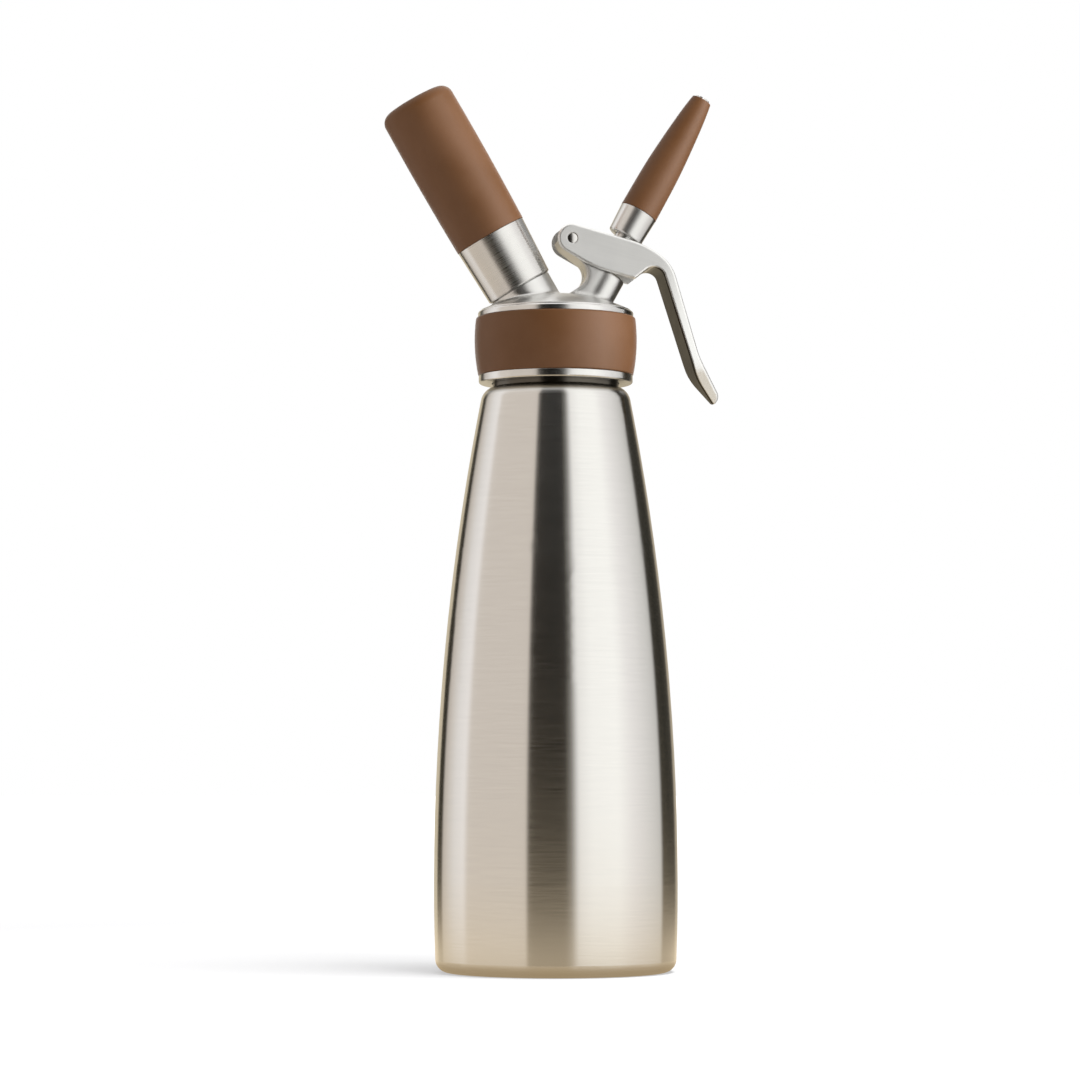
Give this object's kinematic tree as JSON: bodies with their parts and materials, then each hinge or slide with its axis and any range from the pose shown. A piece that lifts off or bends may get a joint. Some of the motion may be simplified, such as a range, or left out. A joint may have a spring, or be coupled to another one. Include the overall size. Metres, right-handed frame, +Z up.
{
  "type": "whipped cream dispenser",
  "caption": "Steel whipped cream dispenser: tapered brushed bottle, screw-on head with squeeze lever, leaning spout and gas charger holder, and soft brown grips.",
  "frame": {"origin": "centre of the bottle's foot, on its vertical axis, at the height of the surface it stands on", "axes": "+Z up along the bottle; +X to the spout and the lever; -X to the gas charger holder; -Y is the side seen in the picture"},
  "size_m": [0.133, 0.0954, 0.3484],
  "materials": {
    "bottle_steel": "fine horizontal brushing, satin",
    "neck_steel": "turned",
    "cast_steel": "polished casting, satin",
    "lever_steel": "brushed along its length",
    "turned_steel": "turned, fine rings",
    "pin_steel": "polished",
    "spring_steel": "drawn wire",
    "charger_steel": "zinc plated",
    "brown_silicone": "matte",
    "seal_rubber": "matte",
    "bush_plastic": "natural"
  },
  "bodies": {
    "bottle": {"bottle_shell": "bottle_steel", "neck_ring": "neck_steel"},
    "gasket": {"head_gasket": "seal_rubber"},
    "head": {"head_casting": "cast_steel", "grip_ring": "brown_silicone", "lever_pin": "pin_steel", "guide_bush": "bush_plastic", "stem_wiper": "seal_rubber", "stem_o_ring": "seal_rubber", "needle_carrier": "turned_steel", "piercing_needle": "turned_steel", "charger_seal": "seal_rubber", "check_valve": "seal_rubber", "valve_spring": "spring_steel"},
    "lever": {"lever": "lever_steel"},
    "stem": {"valve_stem": "turned_steel", "thrust_collar": "turned_steel", "valve_seal": "seal_rubber", "valve_nut": "turned_steel"},
    "spout_seal": {"nozzle_seal": "seal_rubber"},
    "spout": {"nozzle_core": "turned_steel", "nozzle_sleeve": "brown_silicone"},
    "gas_charger": {"charger_bottle": "charger_steel", "charger_cap": "charger_steel"},
    "charger_holder": {"holder_shell": "turned_steel", "holder_sleeve": "brown_silicone"}
  },
  "joints": [
    {"name": "head_lift", "type": "slide", "parent": "bottle", "child": "gasket", "axis": [0, 0, 1], "range_m": [0, 0.01]},
    {"name": "head_unscrew", "type": "hinge", "parent": "gasket", "child": "head", "pos_m": [0, 0, 0.25455], "axis": [0, 0, 1], "range_deg": [0, 900]},
    {"name": "lever_press", "type": "hinge", "parent": "head", "child": "lever", "pos_m": [0.0054, 0, 0.288], "axis": [0, 1, 0], "range_deg": [0, 12], "stiffness_Nm_per_rad": 1, "springref_deg": -11.46},
    {"name": "stem_slide", "type": "slide", "parent": "head", "child": "stem", "axis": [-0.4894, 0, -0.8721], "range_m": [0, 0.004], "deforming": ["valve_spring"]},
    {"name": "spout_lift", "type": "slide", "parent": "stem", "child": "spout_seal", "axis": [0.4894, 0, 0.8721], "range_m": [0, 0.0075]},
    {"name": "spout_unscrew", "type": "hinge", "parent": "spout_seal", "child": "spout", "pos_m": [0.0198, 0, 0.27577], "axis": [0.4894, 0, 0.8721], "range_deg": [0, 1800]},
    {"name": "charger_lift", "type": "slide", "parent": "head", "child": "gas_charger", "axis": [-0.5, 0, 0.866], "range_m": [0, 0.01125]},
    {"name": "holder_unscrew", "type": "hinge", "parent": "gas_charger", "child": "charger_holder", "pos_m": [-0.01442, 0, 0.26917], "axis": [-0.5, 0, 0.866], "range_deg": [0, 1620]}
  ],
  "couplings": [
    {"joint": "head_lift", "follows": "head_unscrew", "m_per_rad": 0.00063662},
    {"joint": "stem_slide", "follows": "lever_press", "m_per_rad": 0.0189},
    {"joint": "spout_lift", "follows": "spout_unscrew", "m_per_rad": 0.00023873},
    {"joint": "charger_lift", "follows": "holder_unscrew", "m_per_rad": 0.00039789}
  ]
}
